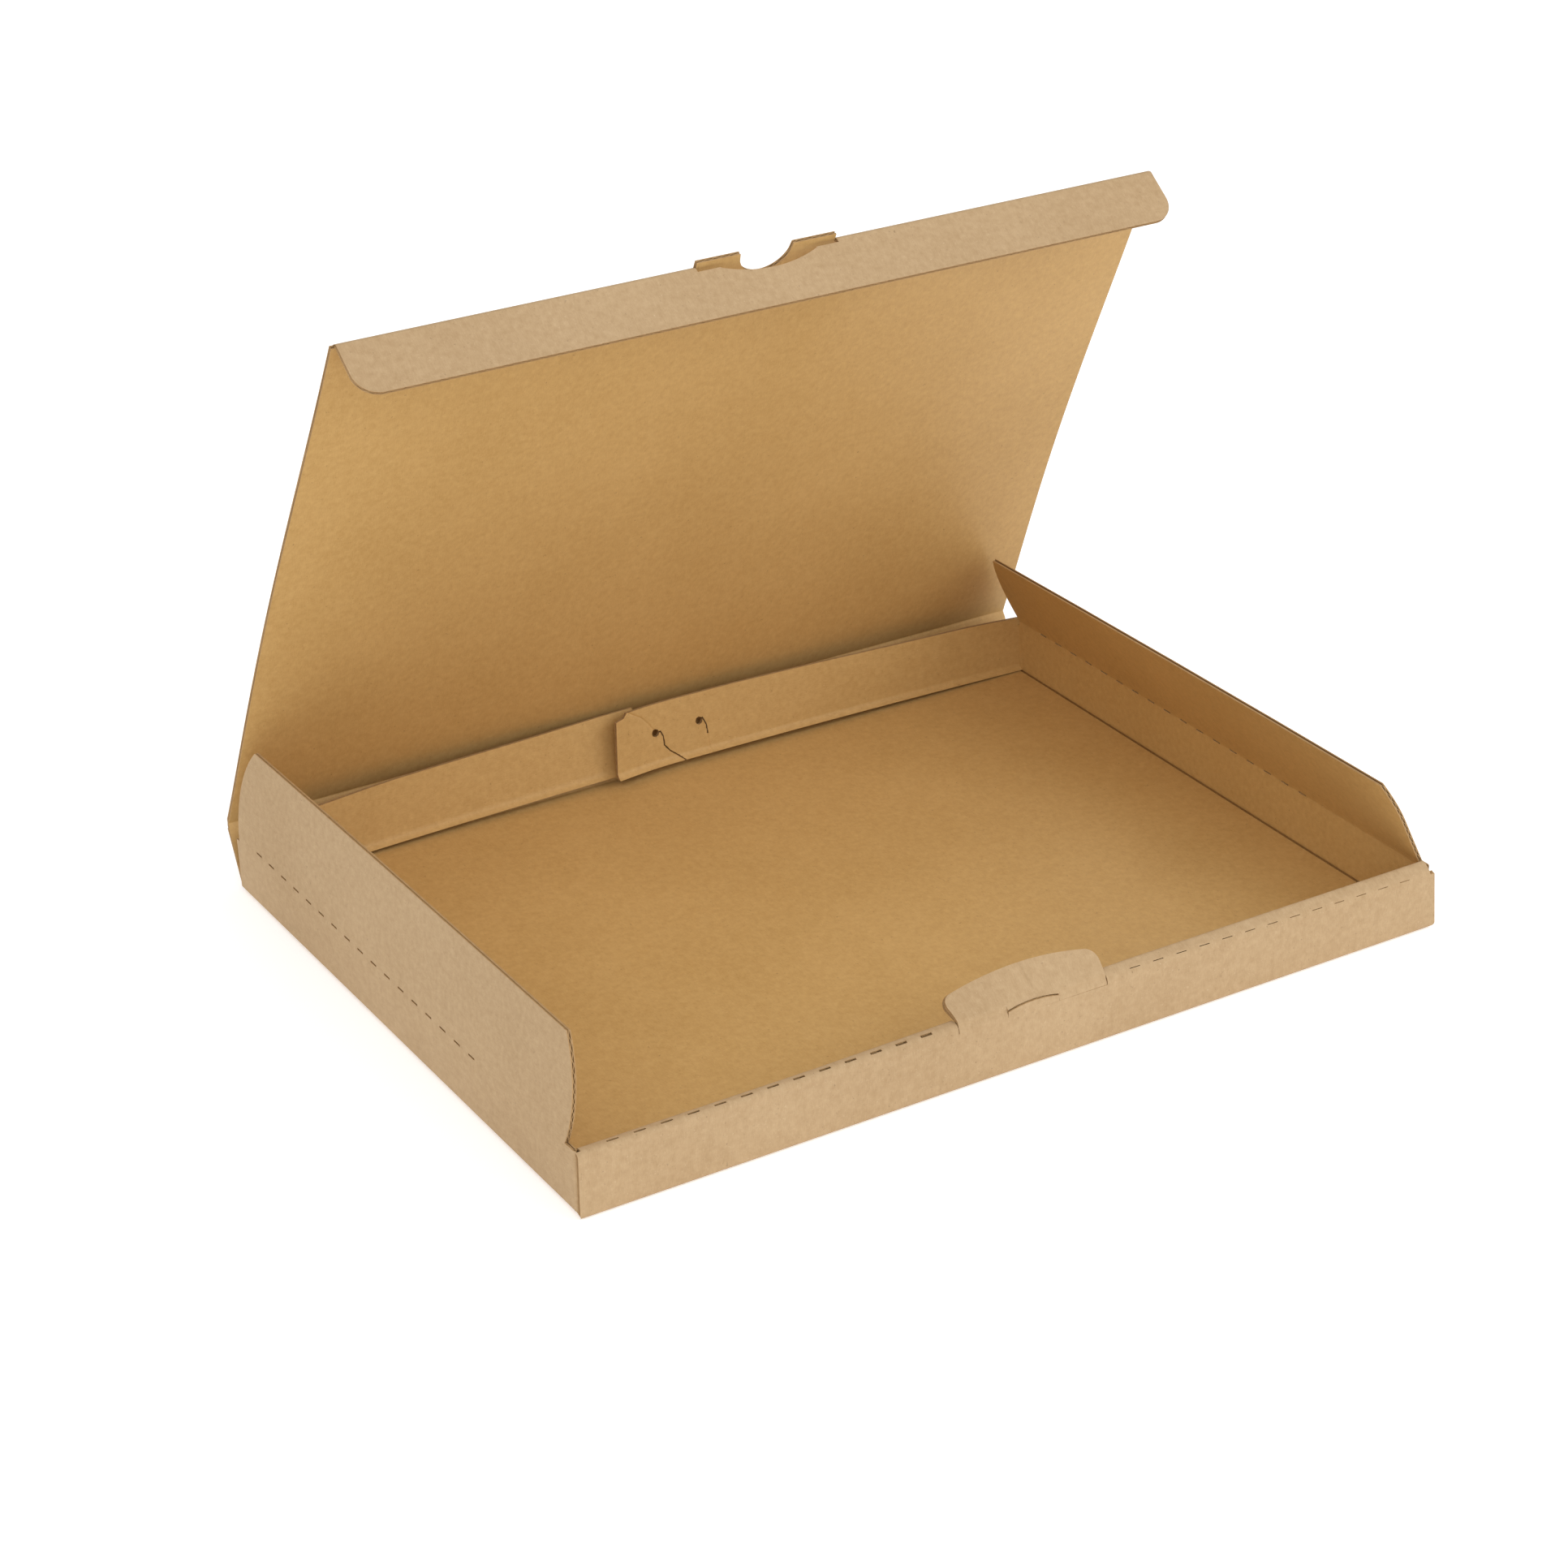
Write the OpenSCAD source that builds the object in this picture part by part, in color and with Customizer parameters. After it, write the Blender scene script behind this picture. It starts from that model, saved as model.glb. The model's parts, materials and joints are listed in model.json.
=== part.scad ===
// Flat mailer box, shown open, folded from one sheet of thin corrugated board.
// Millimetres. +X to the right, +Y to the hinge side, +Z up, table at z = 0.
// The origin is the middle of the floor panel's underside.

/* [Board] */
// Thickness of the board
board_t = 1.5; // [1.2:0.1:2]
// Clearance kept between two panels that turn on each other
crease_gap = 0.3; // [0.2:0.05:0.5]
// Outer bend radius of a folded corner
bend_r = 2; // [1.6:0.1:3]

/* [Tray] */
// Outside width of the tray
body_w = 336; // [300:1:353]
// Outside depth of the tray, front wall to hinge wall
body_d = 250; // [220:1:260]
// Height of the front wall to the top of its roll
wall_h = 24; // [20:0.5:30]
// Height of the creases that the side flaps turn on
side_crease_h = 22.6; // [19:0.2:28]
// Depth of the rolled-over top of the front wall
roll_d = 4.9; // [4.9:0.1:8]
// Length of the dust flaps tucked inside the front wall
front_dust_len = 58; // [40:1:80]
// Width of each tab of the inner front wall that sits in the floor
foot_tab_w = 32; // [20:1:45]
// Distance of each floor tab from the middle
foot_tab_x = 92; // [60:1:120]
// Play between a floor tab and its slot
foot_tab_play = 0.3; // [0.2:0.1:0.6]

/* [Perforated creases] */
// Length of one perforation cut
perf_cut = 4.2; // [2:0.1:6]
// Pitch of the perforation cuts
perf_pitch = 10; // [7:0.5:14]
// Height of one perforation cut
perf_h = 0.6; // [0.4:0.1:1]

/* [Rear dust flaps] */
// Height of the rear dust flaps along their own plane
dust_h = 23.6; // [18:0.2:25]
// Height of their lower edge above the table
dust_z = 4; // [2:0.1:7]
// How far they lean back, in degrees
dust_lean = 8; // [4:1:12]
// Rear end of the floor to the middle of the front layer's lower edge
dust_inset = 1.3; // [0.8:0.1:2.5]
// End of the right flap, measured past the middle
dust_end_x = 15; // [10:1:25]
// Radius of the round relief hole of each hook
hook_r = 1.5; // [1:0.1:2.5]
// Distance of the first hook hole past the middle
hook_x = 2; // [-4:0.5:6]
// Distance between the two hook holes
hook_step = 18.5; // [16:0.5:26]
// Width of the engraved slit line
slit_w = 0.6; // [0.4:0.1:1]
// Depth of the engraved slit line
slit_d = 0.8; // [0.4:0.1:1.2]

/* [Side flaps] */
// Width of a side flap from its crease
flap_w = 37.5; // [25:0.1:45]
// Play between a flap that is folded in and the front wall
flap_play = 0.6; // [0.4:0.1:3]
// Slant of the front end over the flap's width
flap_front_slant = 3.5; // [0:0.5:15]
// Bulge of the front end
flap_front_bow = 5.1; // [1:0.1:7]
// Slant of the rear end over the flap's width
flap_rear_slant = 12; // [2:0.5:20]
// Bulge of the rear end
flap_rear_bow = 4.5; // [1:0.1:6]
// Inward lean of the left flap as photographed, in degrees
left_lean = 4; // [-30:1:60]
// Inward lean of the right flap as photographed, in degrees
right_lean = 26; // [-30:1:60]

/* [Back wall] */
// Backward lean of the back wall as photographed, in degrees
back_lean = 27; // [6:1:90]
// How far the back wall stops short of each tray corner
back_inset = 0.8; // [0.4:0.1:3]

/* [Lid] */
// Length of the lid from hinge crease to front crease
lid_len = 234; // [200:1:246]
// How much narrower the lid is than the tray at its hinge, each side
lid_hinge_inset = 1; // [0.5:0.5:5]
// How much narrower the lid is than the tray at its front, each side
lid_front_inset = 9.5; // [2:0.5:14]
// Angle of the lid above closed as photographed, in degrees
lid_angle = 64.3; // [20:0.1:110]
// Half the span of the two locking ears
ear_span = 27; // [20:0.5:35]
// Reach of the ears beyond the crease
ear_len = 2.2; // [1.8:0.1:5]
// Radius of the thumb notch between the ears
thumb_r = 10.3; // [7:0.1:13]

/* [Tuck flap] */
// Width of the tuck flap
tuck_w = 21; // [15:0.5:28]
// Angle that the tuck flap is folded through as photographed, in degrees
tuck_fold = 101.3; // [0:0.1:120]
// Rounding of its two free corners
tuck_corner_r = 9; // [4:0.5:14]
// Inset of its ends from the lid's corners
tuck_end_inset = 1.2; // [0.5:0.1:4]
// Half width of the deep part of its recess
recess_deep_span = 18.5; // [12:0.5:24]
// Depth of the deep part of its recess at the middle
recess_deep = 6.5; // [5:0.1:9]

/* [Front tongue] */
// Half width of the locking tongue
tongue_span = 29; // [22:0.5:36]
// Reach of the tongue at its middle
tongue_len = 14; // [10:0.2:18]
// Reach of the tongue at its corners
tongue_end_len = 10.4; // [7:0.2:14]
// Rounding of its free corners
tongue_corner_r = 4; // [2:0.5:6]
// Angle of the tongue above level as photographed, in degrees
tongue_angle = 48; // [0:1:120]
// Half width of the crescent lip that stays on the front wall
lip_span = 10; // [6:0.5:14]
// Height of the crescent lip
lip_h = 2; // [1.4:0.1:3]

/* [Hidden] */
half_w = body_w / 2;
half_d = body_d / 2;
half_t = board_t / 2;
eps = 0.05;
// A panel that ends at a crease stops here, measured from the crease axis
crease_clear = half_t + crease_gap;
side_axis_x = half_w - half_t;
side_wall_top = side_crease_h - crease_clear;
front_axis_y = -half_d + half_t;
front_axis_z = wall_h - half_t;
back_axis_y = half_d - half_t;
back_axis_z = half_t;
// The closed lid lies on the closed side flaps
back_wall_len = side_crease_h + board_t + crease_gap - back_axis_z;
floor_rear_y = back_axis_y - crease_clear;
inner_wall_y = -half_d + roll_d - board_t;
front_dust_y = (-half_d + board_t + inner_wall_y) / 2;
flap_front_chord = [flap_front_slant, flap_w];
flap_front_r = arc_radius(norm(flap_front_chord), flap_front_bow);
flap_front_reach = flap_front_r - flap_front_slant / 2
    - (flap_front_r - flap_front_bow) * flap_w / norm(flap_front_chord);
flap_front_y = -half_d + roll_d + flap_play + flap_front_reach;
flap_rear_chord = [flap_rear_slant, flap_w];
flap_rear_r = arc_radius(norm(flap_rear_chord), flap_rear_bow);
flap_rear_reach = max(0, flap_rear_r - flap_rear_slant / 2
    - (flap_rear_r - flap_rear_bow) * flap_w / norm(flap_rear_chord));
flap_rear_y = floor_rear_y - flap_rear_reach;
// The side walls end where their dust flaps stand, behind the side flaps' swing
dust_y = floor_rear_y - dust_inset;
side_wall_rear_y = dust_y + (side_wall_top - dust_z) * tan(dust_lean)
    + half_t / cos(dust_lean);
// Turn of the left dust flap that takes it behind the right one in the middle
dust_turn = atan((board_t + crease_gap) / (half_w - half_t - dust_end_x));
hinge_y = back_axis_y + back_wall_len * sin(back_lean);
hinge_z = back_axis_z + back_wall_len * cos(back_lean);
lid_hinge_half = half_w - lid_hinge_inset;
lid_front_half = half_w - lid_front_inset;
recess_span = ear_span + crease_gap;
recess_depth = ear_len + crease_gap;
crush_l = crease_clear + 2 * board_t;
window_span = tongue_span + crease_gap;
window_drop = tongue_len - roll_d;

// Radius of the arc over a chord that rises by sag in the middle.
function arc_radius(chord, sag) = (chord * chord / 4 + sag * sag) / (2 * sag);

// Points of a circular arc from a to b that bulges by sag to the right of a to b.
function bow(a, b, sag, n = 12) =
    let (chord = norm(b - a),
         radius = arc_radius(chord, sag),
         along = (b - a) / chord,
         side = [along[1], -along[0]],
         centre = (a + b) / 2 - side * (radius - sag),
         spread = asin(chord / 2 / radius))
    [for (i = [0:n]) let (turn = -spread + 2 * spread * i / n)
        centre + radius * (along * sin(turn) + side * cos(turn))];

// A flat panel drawn in X and Y, centred on its own mid-plane.
module panel() {
    translate([0, 0, -half_t])
        linear_extrude(board_t)
            children();
}

// The rounded edge of a panel, along X from x0 to x1, on the crease axis.
module crease_edge(x0, x1) {
    translate([x0, 0, 0])
        rotate([0, 90, 0])
            cylinder(h = x1 - x0, r = half_t, $fn = 32);
}

// Stands a panel that was drawn in X and Y upright, its Y going to +Z.
module upright() {
    rotate([90, 0, 0])
        children();
}

// A box that is given by two opposite corners.
module block(low, high) {
    translate(low)
        cube(high - low);
}

// A folded corner that stands along Z: quarter of a tube, then out to both panels.
module standing_fold(height) {
    rotate_extrude(angle = 90, $fn = 48)
        translate([bend_r - board_t, 0])
            square([board_t, height]);
}

// One row of perforation cuts along X, count cuts from x0 on.
module perforation(x0, count) {
    for (i = [0:count - 1])
        translate([x0 + i * perf_pitch, 0, 0])
            cube([perf_cut, 2 * board_t, perf_h], center = true);
}

// Cross-section of the double front wall, Y across and Z up, without its ends.
module front_section() {
    difference() {
        union() {
            translate([-half_d, bend_r])
                square([board_t, wall_h - 2 * bend_r]);
            translate([-half_d + bend_r, bend_r])
                circle(r = bend_r, $fn = 48);
            translate([-half_d + bend_r, wall_h - bend_r])
                circle(r = bend_r, $fn = 48);
            translate([-half_d + roll_d - bend_r, wall_h - bend_r])
                circle(r = bend_r, $fn = 48);
            translate([-half_d + bend_r, wall_h - board_t])
                square([roll_d - 2 * bend_r, board_t]);
            translate([inner_wall_y, board_t])
                square([board_t, wall_h - board_t - bend_r]);
        }
        translate([-half_d + board_t, board_t])
            square([roll_d - 2 * board_t, wall_h - 2 * board_t]);
    }
}

// The front wall, rolled over on itself, with the window that the tongue leaves.
module front_wall() {
    difference() {
        translate([-half_w, 0, 0])
            rotate([90, 0, 90])
                linear_extrude(body_w)
                    front_section();
        // The inner wall and the roll end inside the side walls
        for (side = [-1, 1])
            translate([side * (half_w - half_t), -half_d + board_t + body_d / 2, 0])
                cube([board_t + 2 * crease_gap, body_d, 4 * wall_h], center = true);
        // Window under the tongue
        block([-window_span, -half_d - eps, front_axis_z - crease_clear],
              [window_span, -half_d + board_t + eps, wall_h + eps]);
        block([-window_span, -half_d + board_t, wall_h - window_drop],
              [window_span, -half_d + roll_d + eps, wall_h + eps]);
        // Perforated roll crease
        for (side = [-1, 1])
            translate([side * (window_span + perf_pitch), -half_d, wall_h - perf_h / 2])
                mirror([side < 0 ? 1 : 0, 0, 0])
                    perforation(0, floor((half_w - window_span - 2 * perf_pitch) / perf_pitch));
    }
    // The crescent lip that the thumb pushes past
    translate([0, front_axis_y, front_axis_z - crease_clear - eps])
        upright()
            panel()
                polygon(bow([lip_span, 0], [-lip_span, 0], lip_h));
    // The tabs of the inner wall, seated in the floor
    for (side = [-1, 1])
        block([side * foot_tab_x - foot_tab_w / 2, inner_wall_y, crease_gap],
              [side * foot_tab_x + foot_tab_w / 2, inner_wall_y + board_t, 2 * board_t]);
}

// The floor with its bent front edge, its side bends and the two tab slots.
module floor_panel() {
    difference() {
        block([-half_w + bend_r, -half_d + bend_r, 0],
              [half_w - bend_r, floor_rear_y, board_t]);
        for (side = [-1, 1])
            block([side * foot_tab_x - foot_tab_w / 2 - foot_tab_play,
                   inner_wall_y - foot_tab_play, -eps],
                  [side * foot_tab_x + foot_tab_w / 2 + foot_tab_play,
                   inner_wall_y + board_t + foot_tab_play, board_t + eps]);
    }
}

// Left side wall with its lower bend, its front corner and the front dust flap.
module side_wall() {
    front_y = front_dust_y - half_t;
    difference() {
        union() {
            translate([-half_w, 0, 0])
                rotate([90, 0, 90])
                    linear_extrude(board_t)
                        polygon([[front_y + bend_r, bend_r], [floor_rear_y, bend_r],
                                 [side_wall_rear_y, side_wall_top],
                                 [front_y + bend_r, side_wall_top]]);
            // The corner that no flap reaches stands a little higher
            block([-half_w, front_y + bend_r, side_wall_top - eps],
                  [-half_w + board_t, flap_front_y - board_t, wall_h - crease_gap]);
            // Lower bend into the floor
            translate([-half_w + bend_r, front_y + bend_r, bend_r])
                rotate([-90, 0, 0])
                    rotate([0, 0, 90])
                        standing_fold(floor_rear_y - front_y - bend_r);
        }
        // Perforated flap crease
        translate([-half_w + half_t, 0, side_wall_top])
            rotate([0, 0, 90])
                perforation(-perf_pitch * 6, 17);
    }
    // Front corner and the dust flap that lies inside the front wall
    translate([-half_w + bend_r, front_y + bend_r, bend_r])
        rotate([0, 0, 180])
            standing_fold(wall_h - board_t - crease_gap - bend_r);
    block([-half_w + bend_r - eps, front_y, bend_r],
          [-half_w + front_dust_len, front_y + board_t, wall_h - board_t - crease_gap]);
}

// Stands a panel, drawn in X and Y, up as a rear dust flap that is turned on its side wall.
module dust_plane(side, turn) {
    translate([side * (half_w - half_t), dust_y, dust_z])
        rotate([0, 0, turn])
            rotate([90 - dust_lean, 0, 0])
                translate([-side * (half_w - half_t), 0, 0])
                    children();
}

// Outline of a flap on a crease along X, with its two free corners rounded.
module rounded_outline(half, width, r) {
    translate([-half, 0])
        square([2 * half, width - r]);
    translate([-half + r, 0])
        square([2 * (half - r), width]);
    for (side = [-1, 1])
        translate([side * (half - r), width - r])
            circle(r = r, $fn = 64);
}

// A narrow line through a list of points, to be cut or engraved.
module slit(points) {
    for (i = [0:len(points) - 2])
        let (a = points[i], b = points[i + 1], run = norm(b - a))
            translate(a)
                rotate(atan2(b[1] - a[1], b[0] - a[0]))
                    translate([-slit_w / 2, -slit_w / 2])
                        square([run + slit_w, slit_w]);
}

// The two rear dust flaps, hooked into each other behind the floor.
module rear_dust_flaps() {
    hook_a = [hook_x, dust_h * 0.53];
    hook_b = [hook_x + hook_step, dust_h * 0.53];
    end_top = [-dust_end_x + 2, dust_h];
    curve_end = [hook_a[0] + 14.5, 0];
    // Left flap, the layer behind
    dust_plane(-1, dust_turn)
        panel()
            polygon([[-half_w + half_t, 0], [-dust_end_x + 10, 0], [-dust_end_x + 10, dust_h],
                     [-25, dust_h], [-26.5, dust_h + 0.8], [-49, dust_h + 0.8],
                     [-50.5, dust_h + 0.1], [-half_w + half_t, dust_h - 2]]);
    // Right flap, the layer in front, with the hooks showing
    dust_plane(1, 0)
        difference() {
            panel()
                polygon([[-dust_end_x, 0], [half_w - half_t, 0], [half_w - half_t, dust_h - 2],
                         [end_top[0] + 10, dust_h], end_top, [-dust_end_x, dust_h - 0.6]]);
            for (hook = [hook_a, hook_b])
                translate([hook[0], hook[1], 0])
                    cylinder(h = 2 * board_t, r = hook_r, center = true, $fn = 32);
            // The lines where one flap passes through the other
            translate([0, 0, half_t - slit_d])
                linear_extrude(board_t) {
                    slit([end_top, hook_a]);
                    slit(bow(hook_a, hook_a + [5, -7], 1.2, 6));
                    slit(bow(curve_end, hook_a + [5, -7], 0.8, 6));
                    slit(bow(hook_b + [1.8, -3.5], hook_b, 1.2, 6));
                    slit([hook_b + [1.8, -3.5], [hook_b[0] + 1.8, 0]]);
                }
        }
}

// Floor, front wall, side walls and their dust flaps: one folded sheet.
module tray() {
    color([0.72, 0.58, 0.40]) {
        floor_panel();
        front_wall();
        side_wall();
        mirror([1, 0, 0])
            side_wall();
        rear_dust_flaps();
    }
}

// The back wall, free of the dust flaps, leaning back on its floor crease.
module back_wall() {
    half = half_w - back_inset;
    color([0.70, 0.54, 0.35])
        translate([0, back_axis_y, back_axis_z])
            rotate([90 - back_lean, 0, 0]) {
                crease_edge(-half, half);
                panel()
                    polygon([[-half, 0], [half, 0], [half, back_wall_len - crease_clear],
                             [-half, back_wall_len - crease_clear]]);
            }
}

// Takes a panel drawn from the lid's hinge crease to the lid as photographed.
module lid_place() {
    translate([0, hinge_y, hinge_z])
        rotate([0, 0, 180])
            rotate([lid_angle, 0, 0])
                children();
}

// The lid with two locking ears and the thumb notch between them.
module lid() {
    color([0.70, 0.54, 0.33])
        lid_place()
            difference() {
                union() {
                    crease_edge(-lid_hinge_half, lid_hinge_half);
                    panel()
                        polygon([[-lid_hinge_half, 0], [lid_hinge_half, 0],
                                 [lid_front_half, lid_len - crease_clear],
                                 [ear_span, lid_len - crease_clear],
                                 [ear_span, lid_len + ear_len],
                                 [-ear_span, lid_len + ear_len],
                                 [-ear_span, lid_len - crease_clear],
                                 [-lid_front_half, lid_len - crease_clear]]);
                }
                translate([0, lid_len + ear_len, 0])
                    cylinder(h = 4 * board_t, r = thumb_r, center = true, $fn = 64);
                // The board is crushed thinner inside the front crease
                for (side = [-1, 1])
                    translate([side * (ear_span + lid_front_half) / 2, 0, 0])
                        rotate([90, 0, 90])
                            linear_extrude(lid_front_half - ear_span, center = true)
                                polygon([[lid_len - crush_l, -half_t],
                                         [lid_len - crease_clear + eps, 0],
                                         [lid_len - crease_clear + eps, -half_t - eps],
                                         [lid_len - crush_l, -half_t - eps]]);
            }
}

// The tuck flap on the lid's front crease, with the recess that the ears leave.
module tuck_flap() {
    half = lid_front_half - tuck_end_inset;
    color([0.78, 0.66, 0.50])
        lid_place()
            translate([0, lid_len, 0])
                rotate([-tuck_fold, 0, 0]) {
                    crease_edge(-half, -recess_span);
                    crease_edge(recess_span, half);
                    panel()
                        difference() {
                            rounded_outline(half, tuck_w, tuck_corner_r);
                            translate([-recess_span, -eps])
                                square([2 * recess_span, recess_depth + eps]);
                            polygon(concat([[recess_deep_span, -eps]],
                                bow([recess_deep_span, recess_depth + crease_gap],
                                    [-recess_deep_span, recess_depth + crease_gap],
                                    recess_deep - recess_depth - crease_gap),
                                [[-recess_deep_span, -eps]]));
                        }
                }
}

// A side flap drawn with its crease along X and its width along Y.
module side_flap_panel() {
    length = flap_rear_y - flap_front_y;
    crease_edge(0, length);
    panel()
        polygon(concat(
            bow(flap_front_chord, [0, 0], flap_front_bow),
            bow([length, 0], [length - flap_rear_slant, flap_w], flap_rear_bow)));
}

// Left side flap, leaning in over the tray.
module left_side_flap() {
    color([0.77, 0.65, 0.48])
        translate([-side_axis_x, flap_front_y, side_crease_h])
            rotate([0, left_lean, 0])
                rotate([90, 0, 90])
                    side_flap_panel();
}

// Right side flap, leaning further in than the left one.
module right_side_flap() {
    color([0.60, 0.44, 0.25])
        translate([side_axis_x, flap_front_y, side_crease_h])
            rotate([0, -right_lean, 0])
                rotate([90, 0, 90])
                    side_flap_panel();
}

// The locking tongue on the front wall's top crease.
module front_tongue() {
    notch = lip_span + crease_gap;
    // Deep enough for the lip at every angle of the tongue
    notch_depth = norm([lip_h - crease_clear, half_t]) + crease_gap;
    color([0.78, 0.66, 0.50])
        translate([0, front_axis_y, front_axis_z])
            rotate([tongue_angle, 0, 0]) {
                for (side = [-1, 1])
                    translate([side * (tongue_span + notch) / 2, 0, 0])
                        crease_edge(-(tongue_span - notch) / 2, (tongue_span - notch) / 2);
                panel()
                    difference() {
                        intersection() {
                            rounded_outline(tongue_span, tongue_len, tongue_corner_r);
                            polygon(concat([[-tongue_span, 0], [tongue_span, 0]],
                                bow([tongue_span, tongue_end_len],
                                    [-tongue_span, tongue_end_len],
                                    tongue_len - tongue_end_len)));
                        }
                        polygon(concat([[notch, -eps]],
                            bow([notch, crease_clear], [-notch, crease_clear],
                                max(notch_depth - crease_clear, eps)),
                            [[-notch, -eps]]));
                    }
            }
}

tray();
back_wall();
lid();
tuck_flap();
left_side_flap();
right_side_flap();
front_tongue();
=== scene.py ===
"""Flat mailer box of thin brown corrugated board, standing open.

Every panel is built as board is: two liners with a waved sheet between them, so that a cut edge
shows its flutes. A surface is a grid of two parameters, u across the flutes and v along them, and a
function that carries (u, v, height above the middle of the board) to its folded place.
"""
import json
import math

import bpy
import numpy as np
from mathutils import Matrix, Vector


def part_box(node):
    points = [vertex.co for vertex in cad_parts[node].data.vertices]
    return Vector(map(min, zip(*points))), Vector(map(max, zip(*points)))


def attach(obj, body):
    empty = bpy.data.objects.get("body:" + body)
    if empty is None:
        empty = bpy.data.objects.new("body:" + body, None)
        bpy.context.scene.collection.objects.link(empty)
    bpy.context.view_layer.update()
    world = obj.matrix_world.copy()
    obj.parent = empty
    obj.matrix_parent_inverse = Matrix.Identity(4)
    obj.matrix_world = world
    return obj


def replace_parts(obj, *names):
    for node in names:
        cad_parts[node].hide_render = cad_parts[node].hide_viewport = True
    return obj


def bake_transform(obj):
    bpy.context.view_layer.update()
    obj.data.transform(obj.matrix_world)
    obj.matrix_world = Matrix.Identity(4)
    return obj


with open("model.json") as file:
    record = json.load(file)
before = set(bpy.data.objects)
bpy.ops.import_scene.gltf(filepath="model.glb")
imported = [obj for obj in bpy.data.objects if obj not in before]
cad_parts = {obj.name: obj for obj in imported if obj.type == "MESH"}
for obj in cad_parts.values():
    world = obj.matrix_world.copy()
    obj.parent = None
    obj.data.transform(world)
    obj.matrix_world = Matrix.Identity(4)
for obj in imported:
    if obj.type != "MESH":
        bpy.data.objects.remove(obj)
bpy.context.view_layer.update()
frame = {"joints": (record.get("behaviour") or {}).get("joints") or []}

# Sizes in metres
MM = 0.001
BOARD = 1.5 * MM
LINER = 0.38 * MM
MEDIUM = 0.25 * MM
FLUTE_PITCH = 3.2 * MM
FLUTE_SAMPLES = 6
CREASE_HALF = 2.0 * MM
CRUSH = 0.45
BEND = 2.0 * MM
BEND_MID = BEND - BOARD / 2
GAP = 0.3 * MM

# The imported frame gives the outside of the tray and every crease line
tray_low, tray_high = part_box("tray")
HALF_W = tray_high.x
HALF_D = -tray_low.y
joints = {joint["name"]: joint for joint in frame["joints"]}


def crease_line(name):
    """The point on a crease line that the record gives, as an array."""
    return np.array(joints[name]["pos_m"], float)


def wide_box(node):
    """Lowest and highest corner of a CAD node as arrays."""
    return [np.array(corner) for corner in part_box(node)]


SIDE_CREASE_X = HALF_W - BOARD / 2
SIDE_CREASE_Z = crease_line("left_side_flap_crease")[2]
BACK_CREASE = crease_line("back_wall_crease")
LID_CREASE = crease_line("lid_crease")
TUCK_CREASE = crease_line("tuck_flap_crease")
TONGUE_CREASE = crease_line("front_tongue_crease")
WALL_H = TONGUE_CREASE[2] + BOARD / 2

# Tray
ROLL_D = 4.9 * MM
WINDOW_HALF = 29.3 * MM
WINDOW_FOOT_Z = 14.9 * MM
FOOT_TAB_X = 92 * MM
FOOT_TAB_W = 32 * MM
FOOT_PLAY = 0.3 * MM
FRONT_DUST_LEN = 58 * MM
PERF_CUT = 4.2 * MM
FRONT_PERF_H = (0.6 * MM, 0.12 * MM)
PERF_ALONG_BEND = 0.72
SIDE_PERF_H = 0.7 * MM
SIDE_PERF_PITCH = 10 * MM
SIDE_PERF_FIRST = -55 * MM
SIDE_PERF_COUNT = 17
FRONT_PERF_PITCH = 9.5 * MM
FRONT_PERF_FIRST = 40.9 * MM
FRONT_PERF_COUNT = 13
LIP_HALF = 10 * MM
LIP_H = 1.3 * MM

# Rear dust flaps
DUST_H = 23.6 * MM
DUST_LEAN = math.radians(7)
DUST_END = 14.5 * MM
HOOK_R = 1.5 * MM
SLIT_HALF = 0.27 * MM

# Side flaps
FLAP_W = 37.5 * MM
FLAP_FRONT_SLANT = 3.5 * MM
FLAP_FRONT_BOW = 5.1 * MM
FLAP_REAR_SLANT = 12 * MM
FLAP_REAR_BOW = 4.5 * MM
LEFT_LEAN = math.radians(4)
RIGHT_LEAN = math.radians(26)

# Wear of the side flaps: rear edges, front end, and curl of the free edge at its front and rear
LEFT_REAR_IN, LEFT_REAR_SLANT, LEFT_REAR_BOW = 0.8 * MM, 13.6 * MM, 4.6 * MM
RIGHT_REAR_IN, RIGHT_REAR_SLANT, RIGHT_REAR_BOW = 1.4 * MM, 7.1 * MM, 3.8 * MM
TURNED_FROM = 22 * MM
TURNED_CLEAR = 0.4 * MM
TURNED_BACK = 4.6 * MM
LEFT_CURL = (-1.6 * MM, 0)
RIGHT_CURL = (-0.15 * MM, -2.2 * MM)

# Back wall, lid, tuck flap and tongue
BACK_HALF = HALF_W - 0.8 * MM
LID_HALF_REAR = HALF_W - 1 * MM
LID_HALF_FRONT = HALF_W - 9.5 * MM
EAR_HALF = 27 * MM
EAR_LEN = 2.2 * MM
THUMB_R = 10.3 * MM
TUCK_W = 21 * MM
TUCK_CREASE_HALF = 1.3 * MM
TUCK_FOLD = math.radians(101.3)
TUCK_HALF = LID_HALF_FRONT - 1.2 * MM
TUCK_CORNER_R = 8.5 * MM
RECESS_HALF = EAR_HALF + GAP
RECESS_DEPTH = EAR_LEN + GAP
RECESS_DEEP_HALF = 18.5 * MM
RECESS_DEEP = 6.5 * MM
TONGUE_HALF = 29 * MM
TONGUE_LEN = 14 * MM
TONGUE_END_LEN = 10.4 * MM
TONGUE_CORNER_R = 4 * MM
TONGUE_ANGLE = math.radians(48)


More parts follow.
